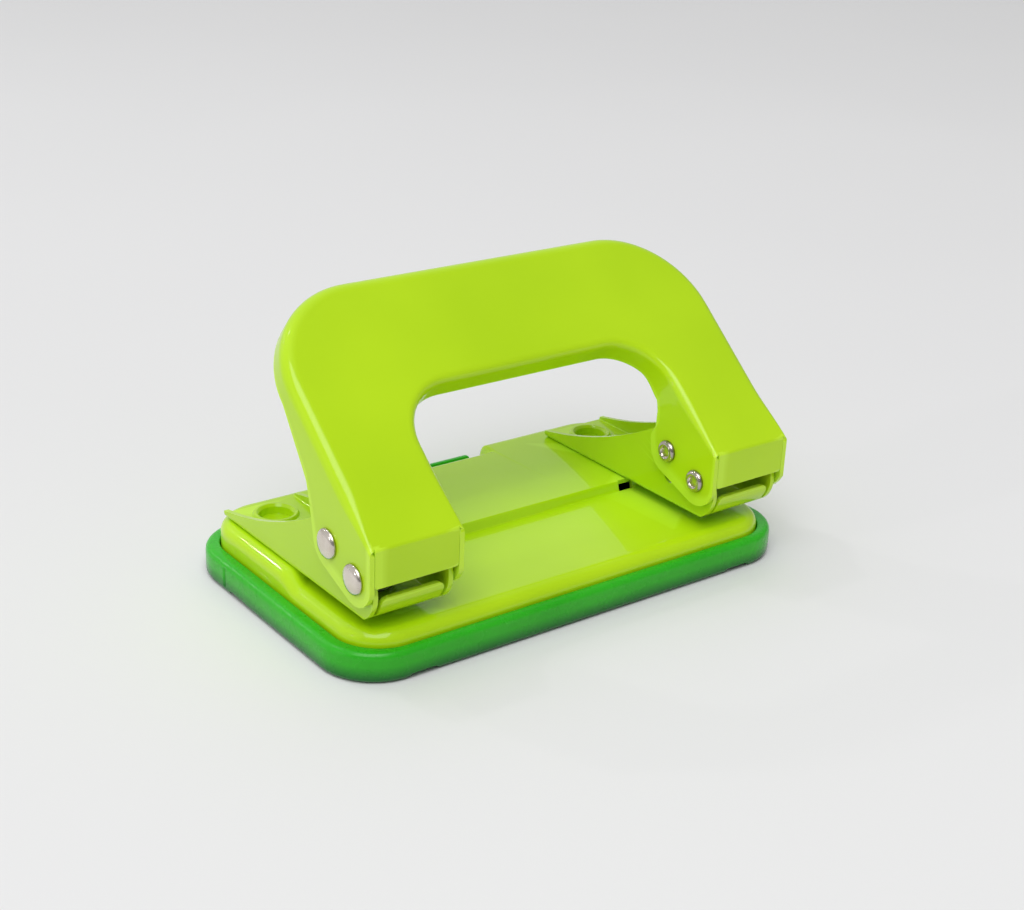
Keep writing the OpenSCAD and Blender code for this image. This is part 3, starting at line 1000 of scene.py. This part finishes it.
def lime_paint():
    """Glossy lime enamel under a clear coat, lighter where it thins over edges."""
    n = Nodes("lime_paint")
    body = n.mix(n.spread(n.noise(28, 2)), *LIME)
    n.colour(n.mix(n.edges(0.53, 0.62), body, LIME_EDGE))
    n.roughness(n.noise(240, 4), 0.3, 0.36)
    n.bump(n.noise(1400, 2, 0.4), 0.01, 0.00005)
    n.set(coat_weight=0.55, coat_roughness=0.04, specular_ior_level=0.15)
    return n.material


def green_plastic():
    """Slightly translucent moulded plastic, with painted shade that darkens it towards its foot.
    """
    n = Nodes("green_plastic")
    height = n.add("ShaderNodeSeparateXYZ")
    n.link(n.place, height.inputs["Vector"])
    rise = n.mapped(height.outputs["Z"], TRAY_SHADE_FROM, TRAY_SHADE_TO)
    body = n.mix(n.spread(n.noise(60, 3)), *TRAY_GREEN)
    # Painted shade darkens the tray towards its foot
    n.colour(n.mix(rise, TRAY_FOOT_PAINTED_SHADE, body))
    n.roughness(n.noise(300, 4), 0.22, 0.32)
    n.bump(n.noise(1600, 3, 0.6), 0.02, 0.00005)
    n.set(subsurface_weight=0.3, subsurface_scale=0.004, subsurface_radius=(0.2, 1.0, 0.2))
    n.set(ior=1.49, specular_ior_level=0.35)
    return n.material


def nickel_plate():
    """Nickel on the rivets, with painted shade inside their cups."""
    n = Nodes("nickel_plate")
    plate = n.mix(n.spread(n.noise(400, 3)), *NICKEL)
    # Painted shade darkens the hollows of the rivet cups
    n.colour(n.mix(n.edges(0.40, 0.49), CUP_PAINTED_SHADE, plate))
    n.roughness(n.noise(1500, 5), 0.14, 0.28)
    n.bump(n.noise(2500, 3, 0.6), 0.06, 0.0001)
    n.set(metallic=1.0)
    return n.material


def ground_steel():
    """Bare steel with fine grinding marks."""
    n = Nodes("ground_steel")
    grain = n.noise(500, 4, 0.6, n.stretched((0.4, 0.4, 6)))
    n.colour(n.mix(n.spread(grain), *GROUND))
    n.roughness(grain, 0.25, 0.42)
    n.bump(grain, 0.12, 0.0001)
    n.set(metallic=1.0)
    return n.material


def spring_wire():
    """Drawn spring wire, darker than the ground steel."""
    n = Nodes("spring_wire")
    grain = n.noise(1800, 3, 0.6)
    n.colour(n.mix(n.spread(grain), *WIRE))
    n.roughness(grain, 0.28, 0.42)
    n.bump(grain, 0.08, 0.0001)
    n.set(metallic=1.0)
    return n.material


WELD_WITHIN = 0.002


def finish_cad_nodes(finishes):
    """Gives every carried-over CAD node its finish, soft edges and even shading."""
    for names, material, width in finishes:
        for name in names:
            node = NODES[name]
            node.data.materials.clear()
            node.data.materials.append(material)
            attribute = node.data.attributes.get("custom_normal")
            if attribute:
                node.data.attributes.remove(attribute)
            weld = node.modifiers.new("weld", "WELD")
            weld.merge_threshold = WELD_WITHIN * MM
            add_bevel(node, width, angle=35)
            node.data.shade_smooth()
            add_weighted_normals(node)


def both(name):
    """The left and the right node of a pair."""
    return ["left_" + name, "right_" + name]


# ---- Stage, in metres ----------------------------------------------------

FLOOR_HALF = 4.0
FLOOR_GAP = 0.0001
LIGHTS_AIM = (0, 0, 0.02)
KEY_PLACE = (-1.0, -1.15, 2.5)
KEY_SIZE = 2.2
KEY_WATTS = 56.0
# Small lamps whose reflections make the bright points on the bends
GLINTS = [(-0.25, 0.50, 0.83), (-0.93, 0.06, 0.36), (-0.20, -0.40, 0.90), (-0.40, 0.77, 0.50)]
GLINT_DISTANCE = 1.15
GLINT_SIZE = 0.04
GLINT_WATTS = 0.5
# The studio is brighter behind the object than in front of it
BRIGHT_SIDE = (-0.3, 0.85, 0.43)
BRIGHT_FROM, BRIGHT_TO = 0.0, 0.6
DIM_GREY, BRIGHT_GREY = 0.30, 0.75
STUDIO_STRENGTH = 0.9

CAMERA_PLACE = (-0.19097, -0.25170, 0.15660)
CAMERA_YAW, CAMERA_PITCH, CAMERA_ROLL = 0.658, 0.401, 0.042
CAMERA_LENS = 60.27
CAMERA_SENSOR = 36


def area_light(name, place, size, watts):
    """Square white lamp that shines at the object."""
    data = bpy.data.lights.new(name, "AREA")
    data.shape = "RECTANGLE"
    data.size = size
    data.size_y = size
    data.energy = watts
    light = bpy.data.objects.new(name, data)
    bpy.context.scene.collection.objects.link(light)
    light.location = place
    aim = Vector(LIGHTS_AIM) - Vector(place)
    light.rotation_euler = aim.to_track_quat("-Z", "Y").to_euler()


def build_floor():
    """Plain pale floor, just under the tray."""
    n = Nodes("pale_floor")
    n.colour(n.mix(n.spread(n.noise(3, 2)), *FLOOR))
    n.set(roughness=0.6, specular_ior_level=0.2)
    mesh = bpy.data.meshes.new("floor")
    half = FLOOR_HALF
    corners = [(-half, -half, 0), (half, -half, 0), (half, half, 0), (-half, half, 0)]
    mesh.from_pydata(corners, [], [(0, 1, 2, 3)])
    floor = new_piece("floor", mesh, n.material)
    floor.location.z = -FLOOR_GAP


def build_studio_world():
    """Soft grey surroundings that brighten towards one side."""
    world = bpy.data.worlds.new("studio")
    bpy.context.scene.world = world
    world.use_nodes = True
    tree = world.node_tree
    background = tree.nodes["Background"]
    outward = tree.nodes.new("ShaderNodeTexCoord")
    facing = tree.nodes.new("ShaderNodeVectorMath")
    facing.operation = "DOT_PRODUCT"
    facing.inputs[1].default_value = BRIGHT_SIDE
    ramp = tree.nodes.new("ShaderNodeValToRGB")
    tree.links.new(outward.outputs["Generated"], facing.inputs[0])
    tree.links.new(facing.outputs["Value"], ramp.inputs["Fac"])
    tree.links.new(ramp.outputs["Color"], background.inputs["Color"])
    low, high = ramp.color_ramp.elements
    low.position, high.position = BRIGHT_FROM, BRIGHT_TO
    low.color = (DIM_GREY, DIM_GREY, DIM_GREY, 1)
    high.color = (BRIGHT_GREY, BRIGHT_GREY, BRIGHT_GREY, 1)
    background.inputs["Strength"].default_value = STUDIO_STRENGTH


def build_lamps():
    """One large soft key lamp and the small lamps that make the glints."""
    area_light("key", KEY_PLACE, KEY_SIZE, KEY_WATTS)
    for number, direction in enumerate(GLINTS):
        place = Vector(direction) * GLINT_DISTANCE
        area_light(f"glint_{number}", place, GLINT_SIZE, GLINT_WATTS)


def build_camera():
    """Camera in front of the left corner, a little above the object."""
    yaw, pitch, roll = CAMERA_YAW, CAMERA_PITCH, CAMERA_ROLL
    right = Vector((math.cos(yaw), -math.sin(yaw), 0))
    ahead = Vector((
        math.sin(yaw) * math.cos(pitch),
        math.cos(yaw) * math.cos(pitch),
        -math.sin(pitch),
    ))
    up = right.cross(ahead)
    camera_x = right * math.cos(roll) + up * math.sin(roll)
    camera_y = up * math.cos(roll) - right * math.sin(roll)
    turn = Matrix((camera_x, camera_y, -ahead)).transposed().to_4x4()
    data = bpy.data.cameras.new("camera")
    data.lens = CAMERA_LENS
    data.sensor_width = CAMERA_SENSOR
    data.clip_start = 0.01
    camera = bpy.data.objects.new("camera", data)
    bpy.context.scene.collection.objects.link(camera)
    camera.matrix_world = Matrix.Translation(CAMERA_PLACE) @ turn
    bpy.context.scene.camera = camera


def build():
    """Makes every piece, the stage and the camera."""
    lime = lime_paint()
    green = green_plastic()
    nickel = nickel_plate()
    ground = ground_steel()
    wire = spring_wire()
    build_handle(lime)
    build_base(lime)
    build_tray(green)
    build_tray_lugs(green)
    for prefix, side in (("left_", -1), ("right_", 1)):
        build_pin(prefix + "pivot_pin", side, PIVOT_Y, PIVOT_Z, "base", nickel)
        build_pin(prefix + "drive_pin", side, DRIVE_Y, DRIVE_Z, "handle", nickel)
        build_spring(prefix + "return_spring", side, wire)
    machined = both("punch") + both("pivot_sleeve") + both("spring_washer")
    finish_cad_nodes([
        (both("bracket") + both("bracket_rivets"), lime, BRACKET_EDGE),
        (machined, ground, STEEL_EDGE),
    ])
    build_floor()
    build_studio_world()
    build_lamps()
    build_camera()
    bpy.context.scene.view_settings.view_transform = "Standard"


build()
